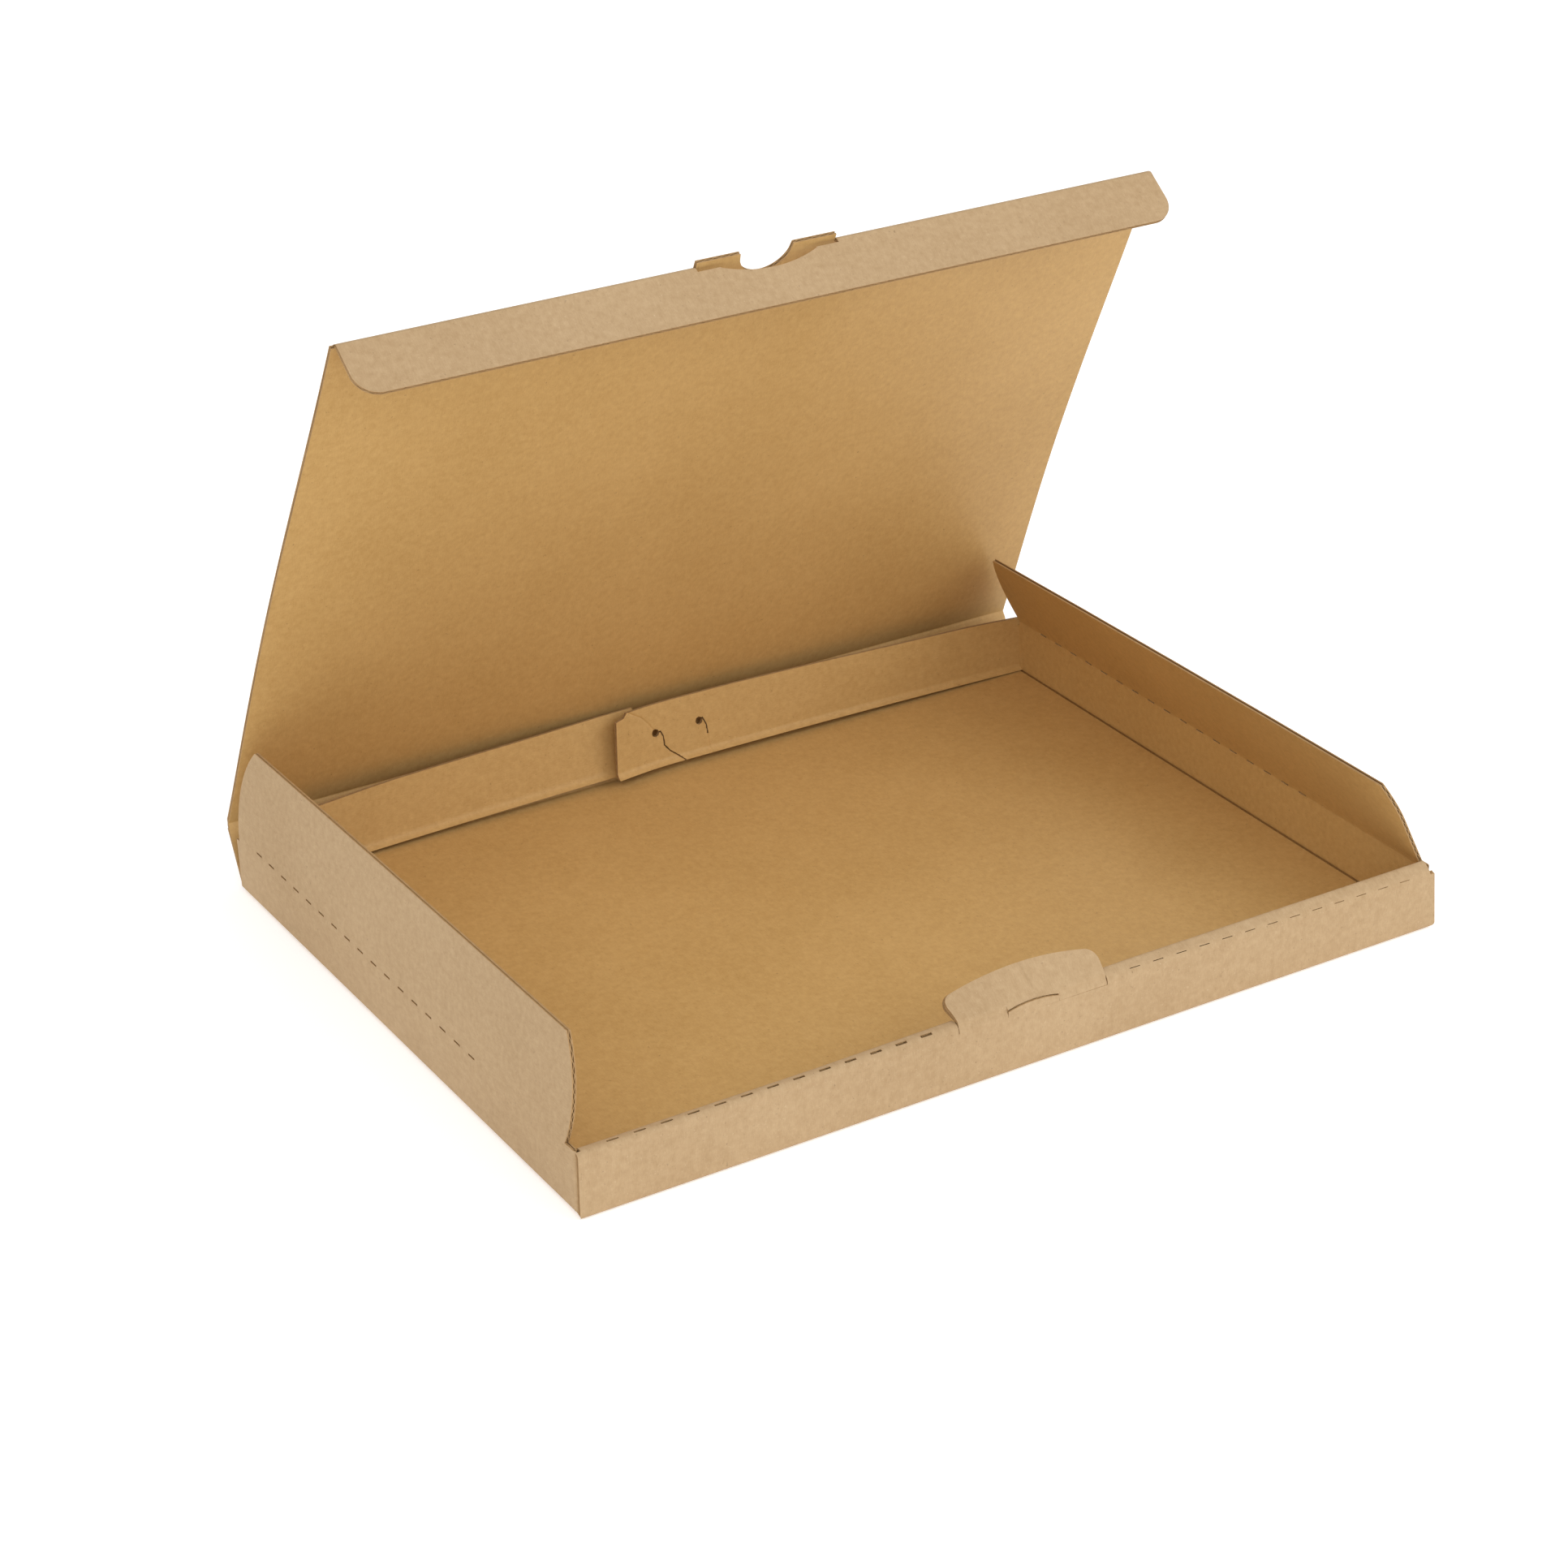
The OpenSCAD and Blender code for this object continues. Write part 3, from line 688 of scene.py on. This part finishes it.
def side_pieces(side, word, lean, front_edge, back_edge, curled):
    """The wall, corner, crease and flap of one side; side is -1 for left and 1 for right. curled
    gives how far the flap's free edge is curled outwards at its front and rear end."""
    def mirrored(x, y, z):
        return np.stack([-side * x, y, z], -1)

    def wall_place(s, y, n):
        x, z = side_path.at(s, crushed(s, n, ARC / 2, WALL_CREASE_W, WALL_CRUSH))
        reach = np.clip((y - SIDE_REAR_FROM) / (SIDE_REAR_Y - SIDE_REAR_FROM), 0, 1)
        return mirrored(x, y + reach * SIDE_REAR_SLANT * z / SIDE_TOP_Z, z)

    # The middle half of the floor-to-wall bend gets the darker liner, which is painted shade in the
    # crease.
    def wall_inside(s, y):
        return np.where(np.abs(s - ARC / 2) < ARC / 4, PAINTED_CREASE_SHADE, INSIDE)

    def wall_keep(s, y):
        kept = (s < S_SIDE_TOP) | (y < FLAP_FRONT_Y - FLAP_SLIT)
        return kept & ((s < ARC) | (y > CORNER_Y))

    board("side_wall_" + word, "tray", np.unique(np.append(side_path.stops(), S_SIDE_TOP).round(9)),
          np.append([-HALF_D + BOARD + 0.1 * MM, CORNER_Y],
                    spread(FLAP_FRONT_Y - FLAP_SLIT, 1, SIDE_REAR_FROM, 4, SIDE_REAR_Y)),
          wall_place, keep=wall_keep, looks=(OUTSIDE, wall_inside))

    def corner_place(z, s, n):
        x, y = corner_path.at(s, n)
        return mirrored(x, y, z)

    def corner_keep(z, s):
        """The dust flap stays under the roll; only the first half of the bend is as high as the
        wall."""
        return (z < CORNER_TOP_Z) | (s < ARC / 2)

    board("front_corner_" + word, "tray", [BEND, CORNER_TOP_Z, FRONT_CORNER_Z],
          corner_path.stops(), corner_place, keep=corner_keep, looks=(INSIDE, OUTSIDE))

    path = crease_path([-SIDE_CREASE_X, SIDE_CREASE_Z], RIGHT_ANGLE, -lean)
    middle = path.length / 2

    def crease_place(s, y, n):
        x, z = path.at(s, crushed(s, n, middle, depth=0.1))
        return mirrored(x, y, z)

    strip = np.unique(np.append(np.linspace(0, path.length, 13),
                                [middle - SIDE_PERF_H / 2, middle + SIDE_PERF_H / 2]).round(9))
    rows = np.concatenate([[FLAP_FRONT_Y, FLAP_REAR_Y], side_perfs - PERF_CUT / 2,
                           side_perfs + PERF_CUT / 2])
    rows = np.unique(rows.round(9))
    length = FLAP_REAR_Y - FLAP_FRONT_Y

    def strip_place(s, y, n):
        """As crease_place, with the ends following the flap's rounded ends above the crease."""
        above = np.clip(s - middle, 0, None)
        first = np.clip(1 - (y - FLAP_FRONT_Y) / FRONT_END_RUN, 0, 1)
        last = np.clip(1 - (FLAP_REAR_Y - y) / REAR_END_RUN, 0, 1)
        return crease_place(s, y + first * front_edge(above) - last * back_edge(above), n)

    def strip_keep(s, y):
        return ~(in_cuts(y, side_perfs) & (np.abs(s - middle) < SIDE_PERF_H / 2))

    tip = heading_vector(RIGHT_ANGLE - lean) * CREASE_HALF
    axis = np.array([side * SIDE_CREASE_X, 0, SIDE_CREASE_Z])
    board("side_crease_" + word, ("tray", word + "_side_flap", tuple(axis - [0, 0, CREASE_HALF]),
                                  tuple(axis + [-side * tip[0], 0, tip[1]])),
          strip, rows, strip_place, keep=strip_keep)

    def curl(w, y):
        """The curl grows with the square of the width, and changes with that of the length."""
        along = np.clip((y - FLAP_FRONT_Y) / length, 0, 1)
        return (curled[0] + (curled[1] - curled[0]) * along ** 2) * (w / FLAP_W) ** 2

    flap = flat_place(axis, [-side * math.sin(lean), 0, math.cos(lean)], [0, 1, 0],
                      [side * math.cos(lean), 0, math.sin(lean)], curl)
    made = board("side_flap_" + word, word + "_side_flap",
                 np.linspace(CREASE_HALF, FLAP_W, 40), np.linspace(0, 1, 5), flap,
                 lambda w: FLAP_FRONT_Y + front_edge(w),
                 lambda w: FLAP_REAR_Y - back_edge(w))
    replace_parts(made, word + "_side_flap")


side_pieces(-1, "left", LEFT_LEAN, bulged_edge, left_rear_edge, LEFT_CURL)
side_pieces(1, "right", RIGHT_LEAN, worn_edge, right_rear_edge, RIGHT_CURL)

# Back wall, lid and tuck flap, one after the other from the floor's rear edge
back_vector = LID_CREASE[1:] - BACK_CREASE[1:]
BACK_LEN = np.linalg.norm(back_vector)
BACK_HEADING = math.atan2(back_vector[1], back_vector[0])
lid_vector = TUCK_CREASE[1:] - LID_CREASE[1:]
LID_LEN = np.linalg.norm(lid_vector)
LID_HEADING = math.atan2(lid_vector[1], lid_vector[0])
TUCK_HEADING = LID_HEADING + TUCK_FOLD
# The lid's front and its lock sit a little to the left, its rear end a little to the right
LOCK_X = -1.8 * MM
BACK_X = 0.4 * MM
REAR_X = 0.45 * MM
FRONT_X = -1.6 * MM
LID_BOW = 2.9 * MM
HUMP = 10.9
INNER_UP = (INSIDE, OUTSIDE)


def crease_strip(name, parent, child, axis, before, after, spans, looks=INNER_UP,
                 half=CREASE_HALF):
    """A crease across the flutes, over the given spans of x, between two headings."""
    path = crease_path(axis[1:], before, after - before, half)

    def place(x, s, n):
        y, z = path.at(s, crushed(s, n, path.length / 2))
        return np.stack([x, y, z], -1)

    start = np.array([0, *(axis[1:] - half * heading_vector(before))])
    end = np.array([0, *(axis[1:] + half * heading_vector(after))])
    for index, (first, last) in enumerate(spans):
        label = name if len(spans) == 1 else f"{name}_{index + 1}"
        board(label, (parent, child, tuple(start), tuple(end)), [first, last],
              np.linspace(0, path.length, 15), place, looks=looks)


def plane_place(axis, heading, scale=None, bow=None, aside_x=None):
    """Places (x, distance from the crease, n) in the plane that leaves a crease at a heading."""
    ahead, aside = heading_vector(heading), heading_vector(heading + RIGHT_ANGLE)

    def place(u, v, n):
        lift = n + (bow(u, v) if bow else 0)
        x = u * scale(v) if scale else u
        x = x + aside_x(v) if aside_x else x
        return np.stack([x, axis[1] + v * ahead[0] + lift * aside[0],
                         axis[2] + v * ahead[1] + lift * aside[1]], -1)
    return place


crease_strip("back_crease", "tray", "back_wall", BACK_CREASE, 0, BACK_HEADING,
             [(-HALF_W + BEND, HALF_W - BEND)])
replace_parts(board("back_wall_board", "back_wall", [BACK_X - BACK_HALF, BACK_X + BACK_HALF],
                  [CREASE_HALF, BACK_LEN - CREASE_HALF], plane_place(BACK_CREASE, BACK_HEADING),
                  looks=INNER_UP), "back_wall")
crease_strip("lid_crease_strip", "back_wall", "lid", LID_CREASE, BACK_HEADING, LID_HEADING,
             [(REAR_X - LID_HALF_REAR, REAR_X + LID_HALF_REAR)])


def lid_scale(v):
    """Width of the lid at distance v from its hinge, as a part of its width there."""
    return 1 - (1 - LID_HALF_FRONT / LID_HALF_REAR) * v / LID_LEN


def lid_bow(u, v):
    """The lid bows back by up to LID_BOW: a smooth hump t^1.5 (1 - t)^2 over its length, which is
    1 / HUMP high at its top."""
    t = np.clip((v - CREASE_HALF) / (LID_LEN - 2 * CREASE_HALF), 0, 1)
    return -LID_BOW * HUMP * t ** 1.5 * (1 - t) ** 2


def lid_shift(v):
    return REAR_X + (FRONT_X - REAR_X) * v / LID_LEN


FRONT_SCALE = lid_scale(LID_LEN)


def lid_end(u):
    """How far the lid reaches: to the crease strip, or out over the ears beside the notch."""
    x = u * FRONT_SCALE + FRONT_X - LOCK_X
    ear = LID_LEN + EAR_LEN - np.sqrt(np.maximum(THUMB_R ** 2 - x ** 2, 0))
    return np.where(np.abs(x) < EAR_HALF, ear, LID_LEN - TUCK_CREASE_HALF)


def at_front(x):
    """The lid's u at a place x along its front, counted from the middle of the lock."""
    return (x + LOCK_X - FRONT_X) / FRONT_SCALE


lid_u = np.unique(np.concatenate([
    np.linspace(-LID_HALF_REAR, LID_HALF_REAR, 9), at_front(np.linspace(-THUMB_R, THUMB_R, 41)),
    at_front(np.array(step_lines(-EAR_HALF) + step_lines(EAR_HALF)))]))
lid_u = lid_u[(np.abs(lid_u - at_front(0)) < THUMB_R / FRONT_SCALE + 0.1 * MM)
              | (np.abs(lid_u) > EAR_HALF - 3 * MM)]
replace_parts(board("lid_board", "lid", lid_u, np.linspace(0, 1, 25),
                  plane_place(LID_CREASE, LID_HEADING, lid_scale, lid_bow, lid_shift),
                  constant(CREASE_HALF), lid_end, looks=INNER_UP,
                  sheet=lambda u, v: (u * lid_scale(v), v)), "lid")

crease_strip("tuck_crease", "lid", "tuck_flap", TUCK_CREASE, LID_HEADING, TUCK_HEADING,
             [(FRONT_X - TUCK_HALF, LOCK_X - RECESS_HALF),
              (LOCK_X + RECESS_HALF, FRONT_X + TUCK_HALF)],
             half=TUCK_CREASE_HALF)


def tuck_foot(u):
    """Where the flap begins: at the crease strip, or at the recess that the ears leave."""
    x = u - LOCK_X
    deep = RECESS_DEPTH + GAP + arc_over(x, -RECESS_DEEP_HALF, RECESS_DEEP_HALF,
                                         RECESS_DEEP - RECESS_DEPTH - GAP)
    return np.where(np.abs(x) < RECESS_DEEP_HALF, deep,
                    np.where(np.abs(x) < RECESS_HALF, RECESS_DEPTH, TUCK_CREASE_HALF))


def tuck_end(u):
    """How far the flap reaches, with its two rounded corners."""
    over = np.clip(np.abs(u - FRONT_X) - (TUCK_HALF - TUCK_CORNER_R), 0, TUCK_CORNER_R)
    return TUCK_W - TUCK_CORNER_R + np.sqrt(np.maximum(TUCK_CORNER_R ** 2 - over ** 2, 0))


corner = TUCK_HALF - TUCK_CORNER_R * (1 - np.sin(np.linspace(0, RIGHT_ANGLE, 17)))
recess = np.array([step_lines(side * edge) for side in (-1, 1)
                   for edge in (RECESS_HALF, RECESS_DEEP_HALF)]).ravel()
tuck_u = np.unique(np.concatenate([
    FRONT_X - corner, FRONT_X + corner, LOCK_X + recess,
    LOCK_X + np.linspace(-RECESS_DEEP_HALF, RECESS_DEEP_HALF, 33)[1:-1]]))
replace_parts(board("tuck_flap_board", "tuck_flap", tuck_u, np.linspace(0, 1, 7),
                  plane_place(TUCK_CREASE, TUCK_HEADING), tuck_foot, tuck_end,
                  looks=INNER_UP), "tuck_flap")

# The locking tongue on the front wall's top edge
notch = LIP_HALF + 0.1 * MM
crease_strip("tongue_crease", "tray", "front_tongue", TONGUE_CREASE, RIGHT_ANGLE, TONGUE_ANGLE,
             [(-TONGUE_HALF, -notch), (notch, TONGUE_HALF)], looks=(OUTSIDE, INSIDE))
TONGUE_TWIST = math.radians(18)
TWIST_RUN = 2 * MM
TONGUE_LEANS = 2.2 / 9
PARTED = 0.8
PARTED_FROM = 0.84
PARTED_RUN = 4 * MM
DENT_X = 1.8 * MM
DENT_SLANT = 0.15
DENT_DEPTH = 0.6 * MM
DENT_W = 0.6 * MM
DENT_RUN = 5 * MM
TONGUE_INNER = 0.1 * MM
TONGUE_ARCH = 1.1 * MM


def tongue_start(u):
    """The board begins at the crease strips, and nearer the crease over the lip between them."""
    inner = TONGUE_INNER + arc_over(u, -notch, notch, TONGUE_ARCH)
    return np.where(np.abs(u) < notch, inner, CREASE_HALF)


def tongue_end(u):
    """How far the tongue reaches: an arch with two rounded corners."""
    arch = TONGUE_END_LEN + arc_over(u, -TONGUE_HALF, TONGUE_HALF, TONGUE_LEN - TONGUE_END_LEN)
    over = np.clip(np.abs(u) - (TONGUE_HALF - TONGUE_CORNER_R), 0, TONGUE_CORNER_R)
    return arch - TONGUE_CORNER_R + np.sqrt(np.maximum(TONGUE_CORNER_R ** 2 - over ** 2, 0))


def tongue_place(u, v, n):
    """The worn tongue: its left half twists back from the crease, leans to the left and parts at
    its end, where the height in the board grows to (1 + PARTED) times. A dent, a bell curve of the
    distance from a slanting line, crosses it."""
    left = np.clip(-u / TONGUE_HALF, 0, 1)
    reach = np.clip(v - CREASE_HALF, 0, None)
    lift = -np.tan(TONGUE_TWIST * left ** 1.5) * reach ** 2 / (reach + TWIST_RUN)
    end = np.clip((left - PARTED_FROM) / (1 - PARTED_FROM), 0, 1)
    parted = 1 + PARTED * end ** 2 * np.clip(reach / PARTED_RUN, 0, 1)
    lean = -TONGUE_LEANS * left * reach
    fold = u - DENT_X + DENT_SLANT * reach
    dent = -DENT_DEPTH * np.exp(-(fold / DENT_W) ** 2) * np.clip(reach / DENT_RUN, 0, 1)
    return plane_place(TONGUE_CREASE, TONGUE_ANGLE)(u + lean, v, n * parted + lift + dent)


round_corner = TONGUE_HALF - TONGUE_CORNER_R * (1 - np.sin(np.linspace(0, RIGHT_ANGLE, 9)))
tongue_u = np.unique(np.concatenate([
    np.linspace(-TONGUE_HALF, TONGUE_HALF, 59), round_corner, -round_corner,
    np.linspace(-5 * MM, 2 * MM, 29),
    step_lines(-notch), step_lines(notch)]))
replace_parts(board("tongue_board", "front_tongue", tongue_u, np.linspace(0, 1, 9),
                  tongue_place, tongue_start, tongue_end), "front_tongue")

# Rear dust flaps, hooked into each other in front of the back wall
DUST_FOOT_Y = SIDE_REAR_Y - 1.3 * MM
DUST_LAYER = BOARD + GAP
# Stance: how high the foot lifts, how the lean is made up, and the curl of the foot
FOOT_LIFT = 1.8 * MM
FOOT_LIFT_MIDDLE = 2.4 * MM
LEAN_END, LEAN_MIDDLE = 0.4, 1.0
LEFT_LEANS_ON = math.radians(4)
LEFT_LEANS_FROM, LEFT_LEANS_TO = -50 * MM, -15 * MM
FOOT_CURL = 2 * MM
FOOT_CURL_H = 2.2 * MM
# The right flap's free end: from where it stands out, and how far forward, up and to the left
FREE_FROM = 10 * MM
FREE_RUN = 24 * MM
FREE_OUT = 3.6 * MM
FREE_UP = 0.8 * MM
FREE_LEFT = 1.2 * MM
FREE_LEFT_FOOT = 2 * MM
PRESS_DEPTH = 0.3 * MM
PRESS_W = 0.35 * MM
HOOKS = np.array([(2.0, 12.5), (20.9, 12.7)]) * MM
# Lines of the hooks, as x and height along the flap: cut through, fine, or only pressed in
HOOK_CUTS = np.array([(2, 12.5, 4.2, 12.6), (4.2, 12.6, 5.1, 10.6), (5.1, 10.6, 5.3, 6.9),
                      (5.3, 6.9, 7.4, 4.2), (7.4, 4.2, 12.6, 0), (20.9, 12.7, 22.5, 13.6),
                      (22.5, 13.6, 23.8, 10.5), (23.8, 10.5, 24.1, 7)]) * MM
HOOK_PRESSED = np.array([(-10, 23.6, -4, 20), (-4, 20, -1, 16.8), (-1, 16.8, 2, 12.5),
                         (24.1, 7, 24.4, 0)]) * MM


def distance(x, h, lines):
    """Distance from the nearest of some straight lines (x0, h0, x1, h1)."""
    nearest = np.full(x.shape, 1.0)
    for x0, h0, x1, h1 in lines:
        run = np.hypot(x1 - x0, h1 - h0)
        along = np.clip(((x - x0) * (x1 - x0) + (h - h0) * (h1 - h0)) / run ** 2, 0, 1)
        away = np.hypot(x - x0 - along * (x1 - x0), h - h0 - along * (h1 - h0))
        nearest = np.minimum(nearest, away)
    return nearest


def dust_place(layer, xs, tops):
    """Upright at the side walls, bowed back towards the middle; the foot lifts off the floor and
    curls forward, the top follows the heights given, and the free end of layer 0, the right flap,
    stands out with the square of its length. Layer 1, the left flap, is behind it."""
    def place(h, x, n):
        middle = np.clip(1 - (x / SIDE_CREASE_X) ** 2, 0, 1)
        lean = DUST_LEAN * (LEAN_END + LEAN_MIDDLE * middle)
        lean = lean + layer * np.interp(x, [LEFT_LEANS_FROM, LEFT_LEANS_TO], [0, LEFT_LEANS_ON])
        high = h * np.interp(x, xs, tops) / DUST_H
        free = (1 - layer) * np.clip((FREE_FROM - x) / FREE_RUN, 0, 1) ** 2
        curl = FOOT_CURL * np.clip(1 - high / FOOT_CURL_H, 0, 1) ** 2
        behind = layer * DUST_LAYER * np.clip(1 - np.abs(x) / SIDE_CREASE_X, 0, 1)
        foot_z = FOOT_LIFT + FOOT_LIFT_MIDDLE * middle + FREE_UP * free
        foot_y = DUST_FOOT_Y + behind - FREE_OUT * free - curl
        x = x - free * (FREE_LEFT + FREE_LEFT_FOOT * (1 - h / DUST_H))
        if layer == 0:
            n = n - PRESS_DEPTH * np.exp(-(distance(x, h, HOOK_PRESSED) / PRESS_W) ** 2)
        return np.stack([x, foot_y + high * np.sin(lean) - n * np.cos(lean),
                         foot_z + high * np.cos(lean) + n * np.sin(lean)], -1)
    return place


def dust_keep(h, x):
    """The flap without its hook holes and without a narrow band along each cut line."""
    kept = distance(x, h, HOOK_CUTS) > SLIT_HALF
    for hook_x, hook_h in HOOKS:
        kept &= (x - hook_x) ** 2 + (h - hook_h) ** 2 > HOOK_R ** 2
    return kept


fine_x = spread(-DUST_END, 200, 26 * MM, 30, SIDE_CREASE_X)
right_tops = (np.array([-14.5, -11, -9.6, 35, 71, 108, 146, 167]) * MM,
              np.array([21.6, 22.2, 23.8, 23.6, 23, 22.3, 22.1, 21.4]) * MM)
left_tops = (np.array([-167, -139, -108, -23]) * MM, np.array([21.4, 22.1, 23.2, 23.2]) * MM)
board("dust_flap_right", "tray", np.linspace(0, DUST_H, 105), fine_x, dust_place(0, *right_tops),
      keep=dust_keep, looks=(INSIDE, OUTSIDE))
board("dust_flap_left", "tray", np.append(np.linspace(0, 1.8 * MM, 5), spread(3 * MM, 8, DUST_H)),
      spread(-SIDE_CREASE_X, 24, -5 * MM), dust_place(1, *left_tops), looks=(INSIDE, OUTSIDE))

# Camera, at the photo's angle; its focal length and the lowering of its centre are in pixels of a
# frame that is FRAME_PX wide
AZIMUTH, ELEVATION, ROLL = math.radians(-31.46), math.radians(25.85), math.radians(-0.64)
DISTANCE = 1319.1 * MM
TARGET_RIGHT, TARGET_UP = -14.4 * MM, 74.8 * MM
SENSOR = 36
FRAME_PX = 1932
FOCAL_PX = 4632
CENTRE_LOW_PX = 109
back = np.array([math.sin(AZIMUTH) * math.cos(ELEVATION),
                 -math.cos(AZIMUTH) * math.cos(ELEVATION), math.sin(ELEVATION)])
right = np.cross(-back, [0, 0, 1])
right /= np.linalg.norm(right)
up = np.cross(right, -back)
place = right * TARGET_RIGHT + up * TARGET_UP + back * DISTANCE
level = right * math.cos(ROLL) + up * math.sin(ROLL)
upright = -right * math.sin(ROLL) + up * math.cos(ROLL)
camera = bpy.data.objects.new("camera", bpy.data.cameras.new("camera"))
camera.data.lens = SENSOR * FOCAL_PX / FRAME_PX
camera.data.shift_y = -CENTRE_LOW_PX / FRAME_PX
camera.data.clip_end = 20
camera.matrix_world = Matrix([(*row, at) for row, at in
                              zip(np.stack([level, upright, back], 1).tolist(), place)]
                             + [(0, 0, 0, 1)])
bpy.context.scene.collection.objects.link(camera)
bpy.context.scene.camera = camera

# Pale floor. Behind the box it falls by a few millimetres, which leaves room for the bow of the
# lid where that lies flat on its back
REACH = 6
FALL = 3.2 * MM
floor_lines = [(-REACH, 0), (HALF_D + 10 * MM, 0), (HALF_D + 90 * MM, -FALL), (REACH, -FALL)]
floor_mesh = bpy.data.meshes.new("stage_floor")
floor_mesh.from_pydata([(x, y, z) for y, z in floor_lines for x in (-REACH, REACH)], [],
                       [(i, i + 1, i + 3, i + 2) for i in (0, 2, 4)])
floor = bpy.data.objects.new("stage_floor", floor_mesh)
floor.location.z = -0.1 * MM
bpy.context.scene.collection.objects.link(floor)
pale = bpy.data.materials.new("pale_floor")
ground = Graph(pale)
paper = ground.node("ShaderNodeBsdfDiffuse", {}, {"Color": (0.92, 0.92, 0.92, 1)})
glow = ground.node("ShaderNodeEmission", {}, {"Color": (1, 1, 1, 1), "Strength": 0.35})
both = ground.node("ShaderNodeAddShader", {}, {0: ground.out(paper), 1: ground.out(glow)})
ground.node("ShaderNodeOutputMaterial", {}, {0: ground.out(both)})
floor_mesh.materials.append(pale)

# Soft studio light: a bright dome, and large lamps from the front left and the front right, given
# as watts and places
DOME_STRENGTH = 0.76
LAMP_SIZE = 2
LAMPS = [(8.8, (-1.0, -1.25, 1.4)), (2.5, (-0.5, -1.1, 1.9)), (14.8, (1.5, -1.3, 1.2))]
world = bpy.data.worlds.new("studio")
bpy.context.scene.world = world
sky = Graph(world)
rays = sky.node("ShaderNodeLightPath")
dome = sky.node("ShaderNodeBackground", {}, {"Color": (1, 1, 1, 1), "Strength": DOME_STRENGTH})
backdrop = sky.node("ShaderNodeBackground", {}, {"Color": (1, 1, 1, 1), "Strength": 1})
seen = (sky.out(rays, "Is Camera Ray") + sky.out(rays, "Is Glossy Ray")
        + sky.out(rays, "Is Transmission Ray"))
choose = sky.node("ShaderNodeMixShader", {}, {0: seen, 1: sky.out(dome), 2: sky.out(backdrop)})
sky.node("ShaderNodeOutputWorld", {}, {0: sky.out(choose)})

for index, (watts, spot) in enumerate(LAMPS):
    lamp = bpy.data.objects.new(f"lamp_{index}", bpy.data.lights.new(f"lamp_{index}", "AREA"))
    lamp.data.shape = "DISK"
    lamp.data.size = LAMP_SIZE
    lamp.data.energy = watts
    lamp.location = spot
    lamp.rotation_euler = (-lamp.location).to_track_quat("-Z", "Y").to_euler()
    bpy.context.scene.collection.objects.link(lamp)

bpy.context.scene.view_settings.view_transform = "Standard"
